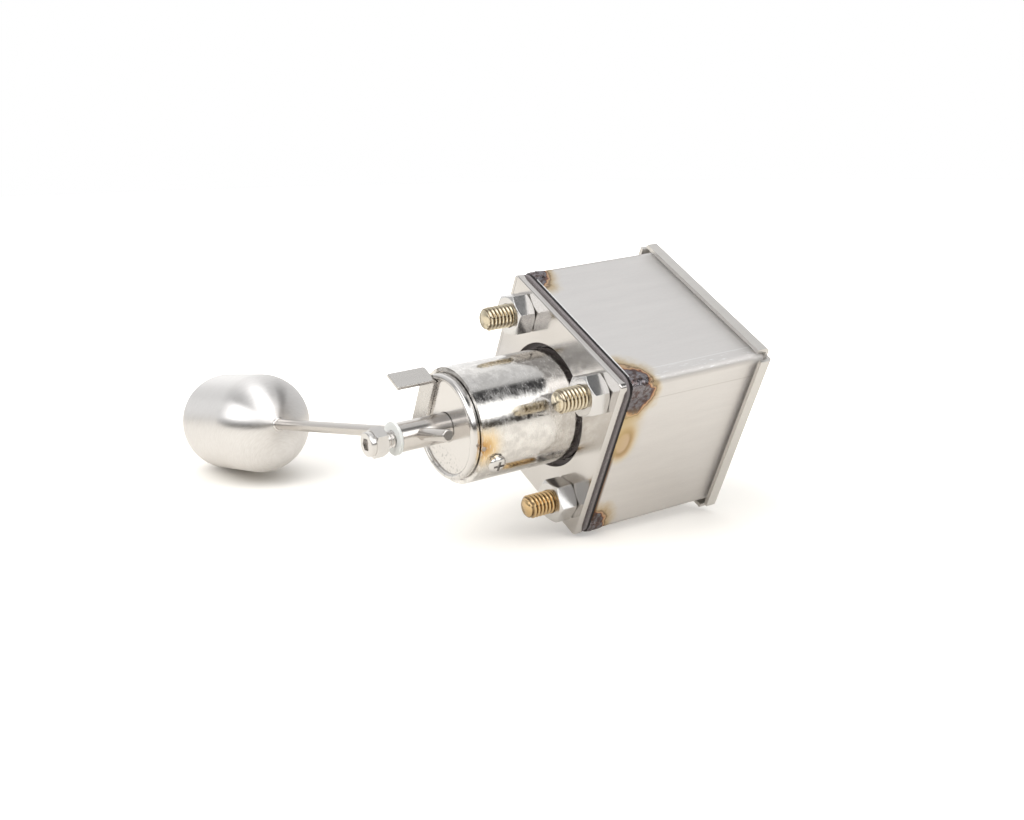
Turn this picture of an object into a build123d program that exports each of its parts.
from build123d import *
import os
from math import cos, degrees, radians, sin, sqrt, tan

# Side-mounted float switch, all sizes in millimetres.
# X runs along the barrel towards the float, Z is up.
# The origin is on the barrel's axis, at the gasket face that seals on the tank wall.

# Flange stack
flange_side = 63.5
plate_thickness = 2.5
plate_corner = 2.0
plate_edge = 0.3
plate_bore_clearance = 1.85
gasket_overhang = 0.7
gasket_thickness = 2.0
gasket_corner = 5.0
gasket_bore_clearance = 0.3
stud_spacing = 44.45
stud_diameter = 7.94
stud_thread_diameter = 7.84
stud_shank_past_nut = 0.3
stud_reach = 18.3
stud_tip_chamfer = 1.0
stud_hole_clearance = 0.4
stud_foot_diameter = 11.0
stud_foot_thickness = 1.2
nut_across_flats = 12.7
nut_thickness = 6.75
nut_bore_clearance = 0.02
nut_turns = [5.0, 33.0, 18.0, 38.0]

# Switch box and its rear cover
box_side = 63.8
box_depth = 54.2
box_wall = 1.5
box_corner = 2.5
box_front_round = 1.3
cover_gap = 1.4
cover_sheet = 1.3
cover_lip = 3.7
cover_bend = 1.6
cover_notch = 2.9
tab_width = 12.0
tab_length = 10.0
tab_sheet = 1.5
tab_bend = 2.4
cover_screw_inset = 6.4
conduit_hole_diameter = 22.2
conduit_from_rear = 24.0

# Barrel and end cap
barrel_diameter = 38.1
barrel_wall = 1.25
barrel_reach = 39.0
barrel_inner_stub = 1.5
cap_length = 12.9
cap_clearance = 0.05
cap_face_stand = 2.0
cap_step_depth = 0.7
cap_bead_gap = 0.45
cap_bead_round = 1.05
cap_screw_from_rim = 5.6
cap_screw_turn = -3.0
bush_wall = 1.6
bush_clearance = 0.05
front_bush_length = 8.2
cap_lip = 1.0
cap_hole_clearance = 0.25
rear_block_length = 11.0
seal_section = 1.78
seal_squeeze = 0.03
seal_gland_play = 0.3
cap_seal_section = 1.6
cap_seal_from_back = 1.2

# Pan head screws: number 6
screw_thread_diameter = 3.5
screw_head_diameter = 6.2
screw_head_height = 2.2
screw_hole_clearance = 0.25
screw_recess_width = 0.9
screw_recess_reach = 1.9
screw_recess_depth = 1.3

# Stop bracket on the end cap
bracket_sheet = 1.3
bracket_width = 7.4
bracket_centre_y = -13.3
bracket_foot = -15.0
bracket_top = 12.0
bracket_reach = 14.6
bracket_bend = 2.0
bracket_bead_gap = 0.2

# Shaft, float arm and clamp screw
shaft_diameter = 9.525
shaft_reach = 59.6
shaft_inner_end = -35.0
shaft_chamfer = 0.5
rod_diameter = 3.97
rod_from_origin = 52.0
rod_hole_clearance = 0.03
rod_tail = 20.3
rod_tip_round = 0.5
rod_droop = 37.0
rod_in_float = 6.0
clamp_thread_diameter = 5.5
clamp_head_diameter = 7.92
clamp_head_height = 1.8
clamp_head_round = 0.5
clamp_socket_flats = 3.75
clamp_socket_depth = 2.6
clamp_screw_end = 70.0
lock_nut_flats = 8.7
lock_nut_thickness = 4.2
washer_diameter = 10.8
washer_thickness = 1.0
ring_thickness = 0.8
ring_diameter = 14.0
ring_groove_depth = 0.75
ring_groove_play = 0.05
thrust_thickness = 0.8
thrust_diameter = 13.2
thrust_play = 0.1

# Float
float_diameter = 37.5
float_length = 64.0
float_dome = 16.5
float_centre = 137.5
float_wall = 0.8
float_seam_ring_width = 8.0
collar_diameter = 5.3
collar_length = 0.9

# Float travel
float_swing = 63.0

# Cam on the shaft's inner end
cam_thickness = 5.0
cam_behind_bracket = 0.6
cam_base_radius = 6.0
cam_low_radius = 6.4
cam_rise = 1.8
cam_run_in = 14.0
cam_steps = 9
cam_hub_diameter = 16.0
cam_hub_length = 5.5
cam_stop_reach = 12.4
cam_stop_width = 3.2
set_screw_diameter = 3.0
set_screw_length = 2.9

# Snap switch
switch_length = 19.8
switch_height = 10.2
switch_thickness = 6.4
switch_cover_thickness = 1.2
switch_corner = 0.4
post_thickness = 0.7
switch_hole_spacing = 9.5
switch_hole_height = 2.9
switch_screw_diameter = 2.2
switch_screw_head = 3.8
switch_screw_head_height = 1.4
switch_nut_flats = 4.4
switch_nut_thickness = 1.6
terminal_width = 3.2
terminal_thickness = 0.5
terminal_drop = 2.6
terminal_in_case = 1.2
terminal_spacing = 7.3
terminal_hole = 1.3
lever_length = 14.3
lever_sheet = 0.4
lever_over_case = 1.35
lever_past_roller = 1.3
lever_eye_diameter = 2.2
lever_pin_diameter = 1.0
roller_diameter = 4.8
roller_width = 2.4
roller_side_play = 0.15
roller_cam_gap = 0.2
roller_plate_gap = 0.2
roller_pin_diameter = 1.5
roller_pin_clearance = 0.04
ear_width = 2.6
plunger_from_pivot = 4.6
plunger_diameter = 2.0
plunger_in_case = 3.0
plunger_room = 0.8
plunger_clearance = 0.06
plunger_lever_gap = 0.1

# Bracket that carries the switch
carrier_sheet = 1.5
carrier_from_wall = 17.5
carrier_foot_length = 12.0
carrier_width = 31.0
carrier_middle_y = 1.5
stop_ear_width = 5.6
carrier_bend = 2.4
stop_tab_gap = 0.2
stop_tab_length = 6.6
ground_screw_diameter = 3.5
ground_head_flats = 6.35
ground_head_height = 2.4

# Places worked out from the sizes above
wall_front = -gasket_thickness
wall_back = wall_front - box_wall
box_rear = wall_front - box_depth
inner_half = box_side / 2 - box_wall
plate_front = plate_thickness
shank_end = plate_front + nut_thickness + stud_shank_past_nut
stud_radius = stud_diameter / 2
thread_radius = stud_thread_diameter / 2
stud_rows = [-stud_spacing / 2, stud_spacing / 2]
stud_places = [(y, z) for y in stud_rows for z in stud_rows]
barrel_radius = barrel_diameter / 2
barrel_bore = barrel_radius - barrel_wall
barrel_back = wall_back - barrel_inner_stub
cap_face = barrel_reach + cap_face_stand
cap_back = cap_face - cap_length
bracket_clear_y = bracket_centre_y + bracket_width / 2 + bracket_bead_gap
bracket_clear_z = (bracket_foot + bracket_top) / 2
bracket_clear_height = bracket_top - bracket_foot + 2 * bracket_bead_gap
shaft_radius = shaft_diameter / 2
bush_bore = shaft_radius + bush_clearance
bush_radius = bush_bore + bush_wall
rod_radius = rod_diameter / 2
screw_radius = screw_thread_diameter / 2
cap_screw_x = barrel_reach - cap_screw_from_rim
carrier_back = wall_back - carrier_from_wall
carrier_front = carrier_back + carrier_sheet
arm_direction = Vector(0, -cos(radians(rod_droop)), -sin(radians(rod_droop)))
arm_plane = Plane(origin=(rod_from_origin, 0, 0), x_dir=(1, 0, 0), z_dir=arm_direction)
arm_section = Plane(
    origin=(rod_from_origin, 0, 0), x_dir=arm_direction, z_dir=arm_direction.cross(Vector(1, 0, 0))
)
arm_axis = Axis((rod_from_origin, 0, 0), arm_direction)

os.makedirs("parts", exist_ok=True)


def save(piece, name):
    """Label a finished piece and write its STEP file."""
    piece.label = name
    export_step(piece, f"parts/{name}.step")


def across(x):
    """A plane square to the barrel at the place x, facing the float."""
    return Plane.YZ.offset(x)


def ring(outer, inner, x_start, x_end):
    """A plain ring on the barrel's axis between two places."""
    with BuildPart() as piece:
        with BuildSketch(across(x_start)):
            Circle(outer)
            Circle(inner, mode=Mode.SUBTRACT)
        extrude(amount=x_end - x_start)
    return piece.part


def hex_nut(flats, thickness, bore):
    """A hexagon nut along Z, both ends turned to a 30 degree cone, from z = 0 up."""
    corner = flats / sqrt(3)
    bevel = (corner - flats / 2 * 0.97) * tan(radians(30))
    with BuildPart() as nut:
        with BuildSketch():
            RegularPolygon(radius=flats / 2, side_count=6, major_radius=False)
            Circle(bore, mode=Mode.SUBTRACT)
        extrude(amount=thickness)
        with BuildSketch(Plane.XZ):
            with BuildLine():
                Polyline(
                    (0, 0),
                    (flats / 2 * 0.97, 0),
                    (corner, bevel),
                    (corner, thickness - bevel),
                    (flats / 2 * 0.97, thickness),
                    (0, thickness),
                    close=True,
                )
            make_face()
        revolve(axis=Axis.Z, mode=Mode.INTERSECT)
    return nut.part


def pan_screw(thread_length):
    """A pan head screw with a cross recess: the head stands on z = 0, the thread goes down."""
    head_radius = screw_head_diameter / 2
    with BuildPart() as screw:
        with BuildSketch(Plane.XZ):
            with BuildLine():
                Line((0, -thread_length), (screw_radius, -thread_length))
                Line((screw_radius, -thread_length), (screw_radius, 0))
                Line((screw_radius, 0), (head_radius, 0))
                Line((head_radius, 0), (head_radius, screw_head_height * 0.35))
                ThreePointArc(
                    (head_radius, screw_head_height * 0.35),
                    (head_radius * 0.86, screw_head_height * 0.78),
                    (head_radius * 0.5, screw_head_height),
                )
                Line((head_radius * 0.5, screw_head_height), (0, screw_head_height))
                Line((0, screw_head_height), (0, -thread_length))
            make_face()
        revolve(axis=Axis.Z)
        with BuildSketch(Plane.XY.offset(screw_head_height)):
            Rectangle(screw_recess_reach * 2, screw_recess_width)
            Rectangle(screw_recess_width, screw_recess_reach * 2)
        extrude(amount=-screw_recess_depth, mode=Mode.SUBTRACT)
    return screw.part


# Box: a folded and welded sheet box, open at the rear
with BuildPart() as box_body:
    with BuildSketch(across(wall_front)):
        RectangleRounded(box_side, box_side, box_corner)
    extrude(amount=-box_depth)
    fillet(box_body.faces().sort_by(Axis.X)[-1].edges(), box_front_round)
    with BuildSketch(across(wall_back)):
        RectangleRounded(2 * inner_half, 2 * inner_half, box_corner - box_wall)
    extrude(amount=-box_depth, mode=Mode.SUBTRACT)
    with BuildSketch(across(wall_front)):
        Circle(barrel_radius)
        with GridLocations(stud_spacing, stud_spacing, 2, 2):
            Circle(stud_radius)
    extrude(amount=-box_wall, mode=Mode.SUBTRACT)
    with BuildSketch(Plane.XZ.offset(box_side / 2)) as conduit_outline:
        with Locations((box_rear + conduit_from_rear, 0)):
            Circle(conduit_hole_diameter / 2)
    extrude(amount=-box_wall, mode=Mode.SUBTRACT)
save(box_body.part, "box_body")

# Rear cover: a shallow pan over the open rear, its corners notched for the bends
cover_side = box_side + 2 * cover_gap + 2 * cover_sheet
with BuildPart() as rear_cover:
    with BuildSketch(across(box_rear - cover_sheet)):
        Rectangle(cover_side, cover_side)
    extrude(amount=cover_sheet + cover_lip)
    fillet(rear_cover.faces().sort_by(Axis.X)[0].edges(), cover_bend)
    offset(amount=-cover_sheet, openings=rear_cover.faces().sort_by(Axis.X)[-1])
    with BuildSketch(across(box_rear - cover_sheet)):
        with GridLocations(cover_side, cover_side, 2, 2):
            Rectangle(cover_notch * 2, cover_notch * 2)
    extrude(amount=cover_sheet + cover_lip, mode=Mode.SUBTRACT)
    with BuildSketch(across(box_rear)):
        with GridLocations(0, 2 * (inner_half - cover_screw_inset), 1, 2):
            Circle(screw_radius + screw_hole_clearance)
    extrude(amount=-cover_sheet, mode=Mode.SUBTRACT)
save(rear_cover.part, "rear_cover")

# Two angle tabs inside the box, welded to its roof and floor, tapped for the cover screws
with BuildPart() as cover_tabs:
    with BuildSketch(Plane.XZ.offset(-tab_width / 2)):
        with BuildLine():
            FilletPolyline(
                (box_rear + tab_length, inner_half),
                (box_rear, inner_half),
                (box_rear, inner_half - tab_length),
                radius=tab_bend,
            )
            offset(amount=-tab_sheet, side=Side.LEFT)
        make_face()
    extrude(amount=tab_width)
    with BuildSketch(across(box_rear)):
        with Locations((0, inner_half - cover_screw_inset)):
            Circle(screw_radius)
    extrude(amount=tab_sheet, mode=Mode.SUBTRACT)
    mirror(about=Plane.XY)
save(cover_tabs.part, "cover_tabs")

cover_screw = pan_screw(cover_sheet + tab_sheet + 2)
with BuildPart() as cover_screws:
    with Locations(
        Location((box_rear - cover_sheet, 0, inner_half - cover_screw_inset), (0, -90, 0)),
        Location((box_rear - cover_sheet, 0, cover_screw_inset - inner_half), (0, -90, 0)),
    ):
        add(cover_screw)
save(cover_screws.part, "cover_screws")

# Gasket
gasket_side = flange_side + 2 * gasket_overhang
with BuildPart() as gasket:
    with BuildSketch(across(wall_front)):
        RectangleRounded(gasket_side, gasket_side, gasket_corner)
        Circle(barrel_radius + gasket_bore_clearance, mode=Mode.SUBTRACT)
        with GridLocations(stud_spacing, stud_spacing, 2, 2):
            Circle(stud_radius + gasket_bore_clearance, mode=Mode.SUBTRACT)
    extrude(amount=gasket_thickness)
save(gasket.part, "gasket")

# Clamp plate, bright on both faces
with BuildPart() as clamp_plate:
    with BuildSketch(across(0)):
        RectangleRounded(flange_side, flange_side, plate_corner)
    extrude(amount=plate_thickness)
    chamfer(clamp_plate.faces().sort_by(Axis.X)[-1].edges(), plate_edge)
    with BuildSketch(across(0)):
        Circle(barrel_radius + plate_bore_clearance)
        with GridLocations(stud_spacing, stud_spacing, 2, 2):
            Circle(stud_radius + stud_hole_clearance)
    extrude(amount=plate_thickness, mode=Mode.SUBTRACT)
save(clamp_plate.part, "clamp_plate")

# Four studs welded into the box's front wall. Past the nut the free end is a shade thinner, as
# rolled threads are: it is what enters a tank wall's holes.
with BuildPart(across(wall_back)) as mounting_studs:
    with GridLocations(stud_spacing, stud_spacing, 2, 2):
        Cylinder(stud_foot_diameter / 2, stud_foot_thickness, align=(Align.CENTER, Align.CENTER, Align.MAX))
        Cylinder(stud_radius, shank_end - wall_back, align=(Align.CENTER, Align.CENTER, Align.MIN))
        Cylinder(thread_radius, stud_reach - wall_back, align=(Align.CENTER, Align.CENTER, Align.MIN))
    stud_tips = mounting_studs.edges().filter_by(GeomType.CIRCLE).group_by(Axis.X)[-1]
    chamfer(stud_tips, stud_tip_chamfer)
save(mounting_studs.part, "mounting_studs")

stud_nut = hex_nut(nut_across_flats, nut_thickness, stud_radius + nut_bore_clearance)
with BuildPart() as stud_nuts:
    for place, nut_turn in zip(stud_places, nut_turns):
        with Locations(across(plate_front).location * Location((*place, 0), (0, 0, nut_turn))):
            add(stud_nut)
save(stud_nuts.part, "stud_nuts")

# Barrel: a polished tube welded into the box's front wall
cap_screw_axes = [cap_screw_turn, cap_screw_turn + 180]
with BuildPart() as barrel_tube:
    with BuildSketch(across(barrel_back)):
        Circle(barrel_radius)
        Circle(barrel_bore, mode=Mode.SUBTRACT)
    extrude(amount=barrel_reach - barrel_back)
    for turn in cap_screw_axes:
        side = Plane(origin=(cap_screw_x, 0, 0), z_dir=(0, cos(radians(turn)), sin(radians(turn))))
        with BuildSketch(side):
            Circle(screw_radius + screw_hole_clearance)
        extrude(amount=barrel_diameter, mode=Mode.SUBTRACT)
save(barrel_tube.part, "barrel_tube")

# End cap: a turned plug with a raised bead round its face, bored for the front bush and the
# shaft seal. The bead is cut away where the stop bracket lies flat on the face.
cap_radius = barrel_bore - cap_clearance
cap_step_x = barrel_reach - cap_step_depth
bead_outer = barrel_bore - cap_bead_gap
bead_crest = bead_outer - cap_bead_round
bead_inner = bead_outer - 2 * cap_bead_round
gland_radius = shaft_radius + seal_section
bush_front = cap_face - cap_lip
gland_front = bush_front - front_bush_length
gland_back = gland_front - seal_section - seal_gland_play
seal_groove_back = cap_back + cap_seal_from_back
with BuildPart() as end_cap:
    with BuildSketch(Plane.XZ):
        with BuildLine():
            profile = Polyline(
                (cap_face, 0),
                (cap_back, 0),
                (cap_back, cap_radius),
                (seal_groove_back, cap_radius),
                (seal_groove_back, barrel_bore - cap_seal_section),
                (seal_groove_back + cap_seal_section + seal_gland_play, barrel_bore - cap_seal_section),
                (seal_groove_back + cap_seal_section + seal_gland_play, cap_radius),
                (cap_step_x, cap_radius),
                (cap_step_x, bead_outer),
                (cap_face, bead_outer),
            )
            bead = ThreePointArc(
                profile @ 1, (cap_face + cap_bead_round, bead_crest), (cap_face, bead_inner)
            )
            Line(bead @ 1, profile @ 0)
        make_face()
    revolve(axis=Axis.X)
    with BuildSketch(across(cap_face)):
        with Locations((bracket_clear_y, bracket_clear_z)):
            Rectangle(barrel_diameter, bracket_clear_height, align=(Align.MAX, Align.CENTER))
    extrude(amount=cap_bead_round, mode=Mode.SUBTRACT)
    with BuildSketch(across(cap_face)):
        Circle(shaft_radius + cap_hole_clearance)
    extrude(amount=-cap_lip, mode=Mode.SUBTRACT)
    with BuildSketch(across(bush_front)):
        Circle(bush_radius)
    extrude(amount=-front_bush_length, mode=Mode.SUBTRACT)
    with BuildSketch(across(gland_front)):
        Circle(gland_radius)
    extrude(amount=cap_back - gland_front, mode=Mode.SUBTRACT)
    for turn in cap_screw_axes:
        side = Plane(origin=(cap_screw_x, 0, 0), z_dir=(0, cos(radians(turn)), sin(radians(turn))))
        with BuildSketch(side.offset(bush_radius + bush_wall)):
            Circle(screw_radius)
        extrude(amount=barrel_diameter, mode=Mode.SUBTRACT)
save(end_cap.part, "end_cap")

cap_screw = pan_screw(barrel_radius - bush_radius - bush_wall - 1)
with BuildPart() as cap_screws:
    for turn in cap_screw_axes:
        seat = Vector(0, cos(radians(turn)), sin(radians(turn))) * barrel_radius
        with Locations(Location((cap_screw_x, seat.Y, seat.Z), (turn - 90, 0, 0))):
            add(cap_screw)
save(cap_screws.part, "cap_screws")

# Bushes, seals and the block that holds the rear bush
save(ring(bush_radius, bush_bore, gland_front, bush_front), "front_bush")
save(ring(gland_radius, bush_bore, cap_back, gland_back), "seal_retainer")
seal_radius = seal_section / 2
with BuildPart() as shaft_seal:
    with BuildSketch(Plane.XZ):
        with Locations((gland_front - seal_radius, shaft_radius + seal_radius)):
            Circle(seal_radius - seal_squeeze)
    revolve(axis=Axis.X)
save(shaft_seal.part, "shaft_seal")

cap_seal_radius = cap_seal_section / 2
with BuildPart() as cap_seal:
    with BuildSketch(Plane.XZ):
        with Locations((seal_groove_back + cap_seal_radius, barrel_bore - cap_seal_radius)):
            Circle(cap_seal_radius - seal_squeeze)
    revolve(axis=Axis.X)
save(cap_seal.part, "cap_seal")

rear_block_front = barrel_back + rear_block_length
save(ring(barrel_bore, bush_radius, barrel_back, rear_block_front), "rear_bush_block")
save(ring(bush_radius, bush_bore, barrel_back, rear_block_front), "rear_bush")

# Thrust washers and retaining rings each side of the block keep the shaft in place
thrust_places = [rear_block_front, barrel_back - thrust_thickness]
with BuildPart() as thrust_washers:
    for place in thrust_places:
        with BuildSketch(across(place)):
            Circle(thrust_diameter / 2)
            Circle(bush_bore, mode=Mode.SUBTRACT)
        extrude(amount=thrust_thickness)
save(thrust_washers.part, "thrust_washers")

ring_bore = shaft_radius - ring_groove_depth
ring_places = [
    rear_block_front + thrust_thickness + thrust_play,
    barrel_back - thrust_thickness - thrust_play - ring_thickness,
]
with BuildPart() as shaft_rings:
    for place in ring_places:
        with BuildSketch(across(place)):
            Circle(ring_diameter / 2)
            Circle(ring_bore, mode=Mode.SUBTRACT)
            with Locations((0, -ring_diameter / 2)):
                Rectangle(ring_bore * 1.6, ring_diameter, mode=Mode.SUBTRACT)
        extrude(amount=ring_thickness)
save(shaft_rings.part, "shaft_rings")

# Stop bracket: a strip welded on the cap's face, its top bent forward over the rod
bracket_edge_x = cap_face + bracket_reach
with BuildPart() as stop_bracket:
    with BuildSketch(Plane.XZ.offset(-bracket_centre_y - bracket_width / 2)):
        with BuildLine():
            FilletPolyline(
                (cap_face, bracket_foot),
                (cap_face, bracket_top),
                (bracket_edge_x, bracket_top),
                radius=bracket_bend,
            )
            offset(amount=-bracket_sheet, side=Side.RIGHT)
        make_face()
    extrude(amount=bracket_width)
save(stop_bracket.part, "stop_bracket")

# Shaft, cross drilled for the float rod and tapped at its end
clamp_radius = clamp_thread_diameter / 2
with BuildPart() as shaft:
    with BuildSketch(across(shaft_inner_end)):
        Circle(shaft_radius)
    extrude(amount=shaft_reach - shaft_inner_end)
    chamfer(shaft.edges().filter_by(GeomType.CIRCLE), shaft_chamfer)
    for place in ring_places:
        with BuildSketch(across(place - ring_groove_play)):
            Circle(shaft_diameter)
            Circle(ring_bore, mode=Mode.SUBTRACT)
        extrude(amount=ring_thickness + 2 * ring_groove_play, mode=Mode.SUBTRACT)
    with BuildSketch(arm_plane):
        Circle(rod_radius + rod_hole_clearance)
    extrude(amount=shaft_diameter, both=True, mode=Mode.SUBTRACT)
    with BuildSketch(across(shaft_reach)):
        Circle(clamp_radius)
    extrude(amount=rod_from_origin - shaft_reach, mode=Mode.SUBTRACT)
save(shaft.part, "shaft")

# Float rod, a plain round bar through the shaft
near_end = float_centre - float_length / 2
with BuildPart() as float_rod:
    with BuildSketch(arm_plane.offset(-rod_tail)):
        Circle(rod_radius)
    extrude(amount=rod_tail + near_end + rod_in_float)
    fillet(float_rod.edges().filter_by(GeomType.CIRCLE), rod_tip_round)
save(float_rod.part, "float_rod")


def float_half(sign):
    """One drawn cup of the float: sign -1 is the cup at the rod, sign 1 the far one."""
    radius = float_diameter / 2
    dome_start = float_centre + sign * (float_length / 2 - float_dome)
    middle = (dome_start + float_centre) / 2
    straight = abs(dome_start - float_centre)
    with BuildPart() as cup:
        with BuildSketch(arm_section):
            with Locations((dome_start, 0)):
                Ellipse(float_dome, radius)
            with Locations((middle, 0)):
                Rectangle(straight, 2 * radius)
            with Locations((dome_start, 0)):
                Ellipse(float_dome - float_wall, radius - float_wall, mode=Mode.SUBTRACT)
            with Locations((middle, 0)):
                Rectangle(straight, 2 * (radius - float_wall), mode=Mode.SUBTRACT)
            with Locations((float_centre - sign * float_length / 2, 0)):
                Rectangle(float_length, 4 * radius, mode=Mode.SUBTRACT)
            with Locations((float_centre, -2 * radius)):
                Rectangle(2 * float_length, 4 * radius, mode=Mode.SUBTRACT)
        revolve(axis=arm_axis)
    return cup.part


with BuildPart() as float_near_half:
    add(float_half(-1))
    with BuildSketch(arm_plane):
        Circle(rod_radius)
    extrude(amount=float_centre, mode=Mode.SUBTRACT)
save(float_near_half.part, "float_near_half")

with BuildPart() as float_far_half:
    add(float_half(1))
save(float_far_half.part, "float_far_half")

# Backing ring behind the float's seam, where the two drawn cups are welded
with BuildPart() as float_seam_ring:
    with BuildSketch(arm_plane.offset(float_centre - float_seam_ring_width / 2)):
        Circle(float_diameter / 2 - float_wall)
        Circle(float_diameter / 2 - 2 * float_wall, mode=Mode.SUBTRACT)
    extrude(amount=float_seam_ring_width)
save(float_seam_ring.part, "float_seam_ring")

# Weld collar where the rod enters the float
with BuildPart() as rod_collar:
    with BuildSketch(arm_plane.offset(near_end - collar_length)):
        Circle(collar_diameter / 2)
        Circle(rod_radius, mode=Mode.SUBTRACT)
    extrude(amount=collar_length + float_wall / 2)
    front_ring = rod_collar.edges().filter_by(GeomType.CIRCLE).sort_by(SortBy.RADIUS)[-2:]
    fillet(front_ring.sort_by(arm_axis)[0], collar_length * 0.6)
    with BuildSketch(arm_section):
        with Locations((near_end + float_dome, 0)):
            Ellipse(float_dome, float_diameter / 2)
        with Locations((near_end + float_dome, -float_diameter)):
            Rectangle(2 * float_length, 2 * float_diameter, mode=Mode.SUBTRACT)
    revolve(axis=arm_axis, mode=Mode.SUBTRACT)
save(rod_collar.part, "rod_collar")

# Clamp screw with its washer and lock nut on the shaft's end
head_back = clamp_screw_end - clamp_head_height
nut_back = head_back - lock_nut_thickness
with BuildPart() as clamp_screw:
    with BuildSketch(across(rod_from_origin + rod_radius)):
        Circle(clamp_radius)
    extrude(amount=clamp_screw_end - rod_from_origin - rod_radius)
    with BuildSketch(across(head_back)):
        Circle(clamp_head_diameter / 2)
    extrude(amount=clamp_head_height)
    fillet(clamp_screw.edges().group_by(Axis.X)[-1], clamp_head_round)
    with BuildSketch(across(clamp_screw_end)):
        RegularPolygon(radius=clamp_socket_flats / 2, side_count=6, major_radius=False, rotation=30)
    extrude(amount=-clamp_socket_depth, mode=Mode.SUBTRACT)
save(clamp_screw.part, "clamp_screw")

lock_nut_shape = hex_nut(lock_nut_flats, lock_nut_thickness, clamp_radius)
with BuildPart(across(nut_back)) as lock_nut:
    add(lock_nut_shape)
save(lock_nut.part, "lock_nut")

save(
    ring(washer_diameter / 2, clamp_radius, shaft_reach, shaft_reach + washer_thickness),
    "end_washer",
)

# Cam: a spiral lobe that lowers the roller evenly as the float rises
cam_front = carrier_back - cam_behind_bracket
cam_back = cam_front - cam_thickness
cam_slope = cam_rise / float_swing


def cam_radius(turn):
    """Radius of the lobe, with turn in degrees of float travel past its rest."""
    return cam_low_radius + cam_slope * turn


def cam_point(turn):
    """Point of the lobe on the YZ plane: turn 0 is straight down, under the shaft."""
    angle = radians(turn - 90)
    return (cam_radius(turn) * cos(angle), cam_radius(turn) * sin(angle))


lobe_turns = [
    -cam_run_in + step * (float_swing + 2 * cam_run_in) / (cam_steps - 1) for step in range(cam_steps)
]
with BuildPart() as cam:
    with BuildSketch(across(cam_back)):
        Circle(cam_base_radius)
        with BuildLine():
            lobe = Spline([cam_point(turn) for turn in lobe_turns])
            Polyline(lobe @ 1, (0, 0), lobe @ 0)
        make_face()
        with Locations((-cam_stop_reach / 2, 0)):
            Rectangle(cam_stop_reach, cam_stop_width)
    extrude(amount=cam_thickness)
    with BuildSketch(across(cam_back)):
        Circle(cam_hub_diameter / 2)
    extrude(amount=-cam_hub_length)
    with BuildSketch(across(cam_front)):
        Circle(shaft_radius)
    extrude(amount=-cam_thickness - cam_hub_length, mode=Mode.SUBTRACT)
    with BuildSketch(Plane.XY):
        with Locations((cam_back - cam_hub_length / 2, 0)):
            Circle(set_screw_diameter / 2)
    extrude(amount=cam_hub_diameter, mode=Mode.SUBTRACT)
save(cam.part, "cam")

with BuildPart() as cam_set_screw:
    with BuildSketch(Plane.XY.offset(shaft_radius)):
        with Locations((cam_back - cam_hub_length / 2, 0)):
            Circle(set_screw_diameter / 2)
    extrude(amount=set_screw_length)
    with BuildSketch(Plane.XY.offset(shaft_radius + set_screw_length)):
        with Locations((cam_back - cam_hub_length / 2, 0)):
            RegularPolygon(radius=set_screw_diameter / 4, side_count=6)
    extrude(amount=-set_screw_length / 2, mode=Mode.SUBTRACT)
save(cam_set_screw.part, "cam_set_screw")

# Snap switch: places of its lever, roller and plunger, in the plane of the cam
switch_back = carrier_back - switch_thickness
switch_mid_x = carrier_back - (switch_thickness - switch_cover_thickness) / 2
roller_radius = roller_diameter / 2
lever_turn = degrees(cam_rise / lever_length)
roller_over_plate = lever_sheet / 2 + roller_plate_gap + roller_radius
level_roller_z = -(cam_low_radius + roller_cam_gap + roller_radius) - cam_rise / 2
pivot_y = lever_length
pivot_z = level_roller_z - roller_over_plate
case_top = pivot_z - lever_sheet / 2 - lever_over_case
case_bottom = case_top - switch_height
case_mid_y = pivot_y + lever_eye_diameter / 2 - switch_length / 2
case_mid_z = (case_top + case_bottom) / 2
switch_hole_z = case_bottom + switch_hole_height
plunger_y = pivot_y - plunger_from_pivot
plunger_radius = plunger_diameter / 2
ear_gap = roller_width + 2 * roller_side_play
lever_width = ear_gap + 2 * lever_sheet
post_gap = lever_width + 2 * roller_side_play
pin_radius = roller_pin_diameter / 2
level_frame = Plane(origin=(switch_mid_x, pivot_y, pivot_z), x_dir=(0, 1, 0), z_dir=(1, 0, 0))
lever_frame = Plane(
    origin=level_frame.origin,
    x_dir=(0, cos(radians(lever_turn / 2)), -sin(radians(lever_turn / 2))),
    z_dir=(1, 0, 0),
)


def beside(width, thickness):
    """Two places along X, each side of the lever's middle, for a pair of plates."""
    return [-width / 2 - thickness, width / 2]


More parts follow.
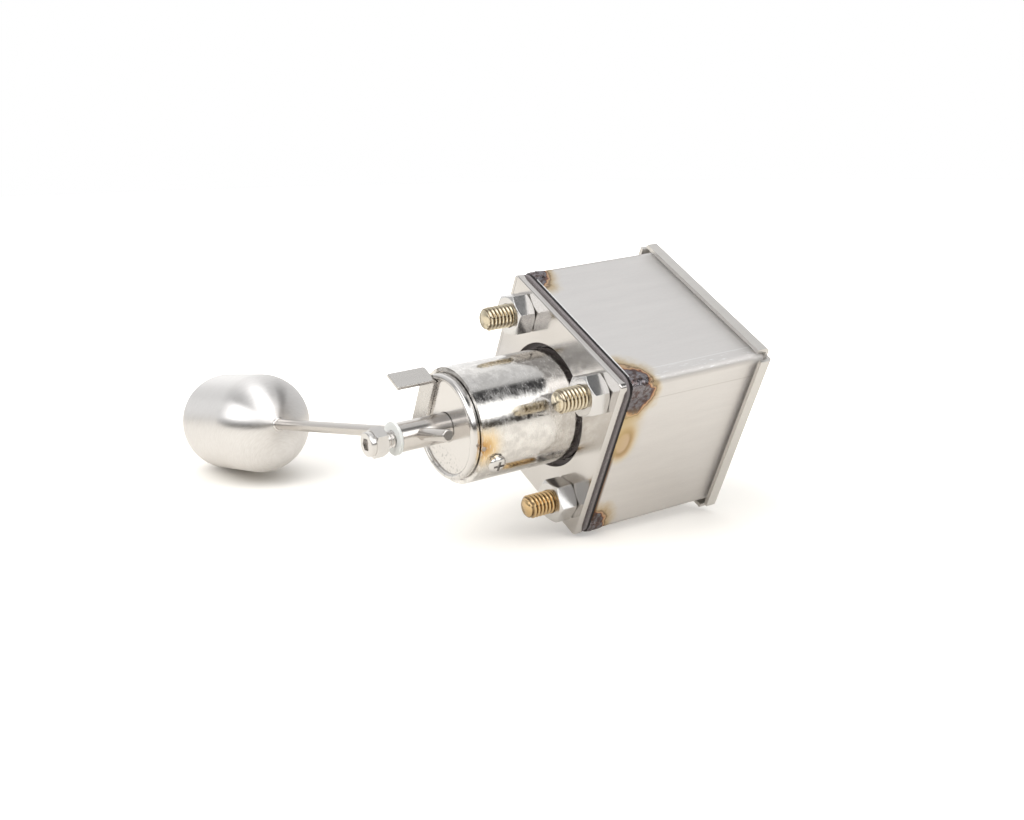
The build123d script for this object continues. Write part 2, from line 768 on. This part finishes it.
with BuildPart() as switch_case:
    with BuildSketch(across(switch_back + switch_cover_thickness)):
        with Locations((case_mid_y, case_mid_z)):
            RectangleRounded(switch_length, switch_height, switch_corner)
    extrude(amount=switch_thickness - switch_cover_thickness)
    for start in beside(post_gap, post_thickness):
        with BuildSketch(level_frame.offset(start)):
            Circle(lever_eye_diameter / 2)
            with Locations((0, -lever_over_case)):
                Rectangle(lever_eye_diameter, 2 * lever_over_case)
        extrude(amount=post_thickness)
    with BuildSketch(level_frame.offset(-post_gap / 2 - post_thickness)):
        Circle(lever_pin_diameter / 2)
    extrude(amount=post_gap + 2 * post_thickness, mode=Mode.SUBTRACT)
    with BuildSketch(across(switch_back)):
        with Locations((case_mid_y, switch_hole_z)):
            with GridLocations(switch_hole_spacing, 0, 2, 1):
                Circle(switch_screw_diameter / 2)
    extrude(amount=switch_thickness, mode=Mode.SUBTRACT)
    with BuildSketch(Plane.XY.offset(case_top)):
        with Locations((switch_mid_x, plunger_y)):
            Circle(plunger_radius + plunger_clearance)
    extrude(amount=-plunger_in_case - plunger_room, mode=Mode.SUBTRACT)
    with BuildSketch(Plane.XY.offset(case_bottom)):
        with Locations((switch_mid_x, case_mid_y)):
            with GridLocations(0, terminal_spacing, 1, 3):
                Rectangle(terminal_thickness, terminal_width)
    extrude(amount=terminal_in_case, mode=Mode.SUBTRACT)
save(switch_case.part, "switch_case")

with BuildPart() as switch_cover:
    with BuildSketch(across(switch_back)):
        with Locations((case_mid_y, case_mid_z)):
            RectangleRounded(switch_length, switch_height, switch_corner)
        with Locations((case_mid_y, switch_hole_z)):
            with GridLocations(switch_hole_spacing, 0, 2, 1):
                Circle(switch_screw_diameter / 2, mode=Mode.SUBTRACT)
    extrude(amount=switch_cover_thickness)
save(switch_cover.part, "switch_cover")

with BuildPart() as switch_terminals:
    with BuildSketch(Plane.YZ.offset(switch_mid_x - terminal_thickness / 2)):
        with Locations((case_mid_y, case_bottom + (terminal_in_case - terminal_drop) / 2)):
            with GridLocations(terminal_spacing, 0, 3, 1):
                Rectangle(terminal_width, terminal_drop + terminal_in_case)
        with Locations((case_mid_y, case_bottom - terminal_drop / 2)):
            with GridLocations(terminal_spacing, 0, 3, 1):
                Circle(terminal_hole / 2, mode=Mode.SUBTRACT)
    extrude(amount=terminal_thickness)
save(switch_terminals.part, "switch_terminals")

# Plunger under the lever, close to its pivot
lever_rise = plunger_from_pivot * sin(radians(lever_turn / 2))
plunger_top = pivot_z - lever_sheet / 2 + lever_rise - plunger_lever_gap
with BuildPart() as switch_plunger:
    with BuildSketch(Plane.XY.offset(case_top - plunger_in_case)):
        with Locations((switch_mid_x, plunger_y)):
            Circle(plunger_radius)
    extrude(amount=plunger_top - case_top + plunger_in_case)
    fillet(switch_plunger.faces().sort_by(Axis.Z)[-1].edges(), plunger_radius / 2)
save(switch_plunger.part, "switch_plunger")

# Lever: a rolled eye on its pin, a flat arm, and two ears that hold the roller's pin
with BuildPart() as switch_lever:
    with BuildSketch(lever_frame.offset(-lever_width / 2)):
        Circle(lever_eye_diameter / 2)
        with Locations((-(lever_length + lever_past_roller) / 2, 0)):
            Rectangle(lever_length + lever_past_roller, lever_sheet)
        Circle(lever_pin_diameter / 2 + roller_pin_clearance, mode=Mode.SUBTRACT)
    extrude(amount=lever_width)
    for start in beside(ear_gap, lever_sheet):
        with BuildSketch(lever_frame.offset(start)):
            with Locations((-lever_length, roller_over_plate)):
                Circle(ear_width / 2)
            with Locations((-lever_length, roller_over_plate / 2)):
                Rectangle(ear_width, roller_over_plate)
        extrude(amount=lever_sheet)
    with BuildSketch(lever_frame.offset(-lever_width / 2)):
        with Locations((-lever_length, roller_over_plate)):
            Circle(pin_radius)
    extrude(amount=lever_width, mode=Mode.SUBTRACT)
save(switch_lever.part, "switch_lever")

with BuildPart() as lever_pin:
    with BuildSketch(level_frame.offset(-post_gap / 2 - post_thickness)):
        Circle(lever_pin_diameter / 2)
    extrude(amount=post_gap + 2 * post_thickness)
save(lever_pin.part, "lever_pin")

with BuildPart() as roller_pin:
    with BuildSketch(lever_frame.offset(-lever_width / 2)):
        with Locations((-lever_length, roller_over_plate)):
            Circle(pin_radius)
    extrude(amount=lever_width)
save(roller_pin.part, "roller_pin")

with BuildPart() as lever_roller:
    with BuildSketch(lever_frame.offset(-roller_width / 2)):
        with Locations((-lever_length, roller_over_plate)):
            Circle(roller_radius)
            Circle(pin_radius + roller_pin_clearance, mode=Mode.SUBTRACT)
    extrude(amount=roller_width)
save(lever_roller.part, "lever_roller")

# Carrier: a folded bracket welded to the box's floor, with an ear bent back as the lower stop
ear_top = -cam_stop_width / 2 - stop_tab_gap
ear_middle = carrier_middle_y - carrier_width / 2 + stop_ear_width / 2
with BuildPart() as switch_carrier:
    with BuildSketch(Plane.XZ.offset(-carrier_middle_y - carrier_width / 2)):
        with BuildLine():
            FilletPolyline(
                (carrier_back + carrier_foot_length, -inner_half),
                (carrier_back, -inner_half),
                (carrier_back, case_top),
                radius=carrier_bend,
            )
            offset(amount=-carrier_sheet, side=Side.RIGHT)
        make_face()
    extrude(amount=carrier_width)
    with BuildSketch(across(carrier_back)):
        with Locations((ear_middle, (case_top + ear_top) / 2)):
            Rectangle(stop_ear_width, ear_top - case_top)
    extrude(amount=carrier_sheet)
    with BuildSketch(across(carrier_back)):
        with Locations((ear_middle, ear_top - carrier_sheet / 2)):
            Rectangle(stop_ear_width, carrier_sheet)
    extrude(amount=-stop_tab_length)
    with BuildSketch(across(carrier_back)):
        with Locations((case_mid_y, switch_hole_z)):
            with GridLocations(switch_hole_spacing, 0, 2, 1):
                Circle(switch_screw_diameter / 2)
        with Locations((ear_middle, case_mid_z)):
            Circle(ground_screw_diameter / 2)
    extrude(amount=carrier_sheet, mode=Mode.SUBTRACT)
save(switch_carrier.part, "switch_carrier")

with BuildPart() as switch_screws:
    with BuildSketch(across(switch_back)):
        with Locations((case_mid_y, switch_hole_z)):
            with GridLocations(switch_hole_spacing, 0, 2, 1):
                Circle(switch_screw_diameter / 2)
    extrude(amount=switch_thickness + carrier_sheet + switch_nut_thickness + switch_screw_diameter / 4)
    with BuildSketch(across(switch_back)):
        with Locations((case_mid_y, switch_hole_z)):
            with GridLocations(switch_hole_spacing, 0, 2, 1):
                Circle(switch_screw_head / 2)
    extrude(amount=-switch_screw_head_height)
save(switch_screws.part, "switch_screws")

switch_nut = hex_nut(switch_nut_flats, switch_nut_thickness, switch_screw_diameter / 2)
with BuildPart(across(carrier_front)) as switch_nuts:
    with Locations((case_mid_y, switch_hole_z)):
        with GridLocations(switch_hole_spacing, 0, 2, 1):
            add(switch_nut)
save(switch_nuts.part, "switch_nuts")

with BuildPart(across(carrier_back)) as ground_screw:
    with BuildSketch():
        with Locations((ear_middle, case_mid_z)):
            RegularPolygon(radius=ground_head_flats / 2, side_count=6, major_radius=False)
    extrude(amount=-ground_head_height)
    with BuildSketch():
        with Locations((ear_middle, case_mid_z)):
            Circle(ground_screw_diameter / 2)
    extrude(amount=2 * carrier_sheet)
save(ground_screw.part, "ground_screw")
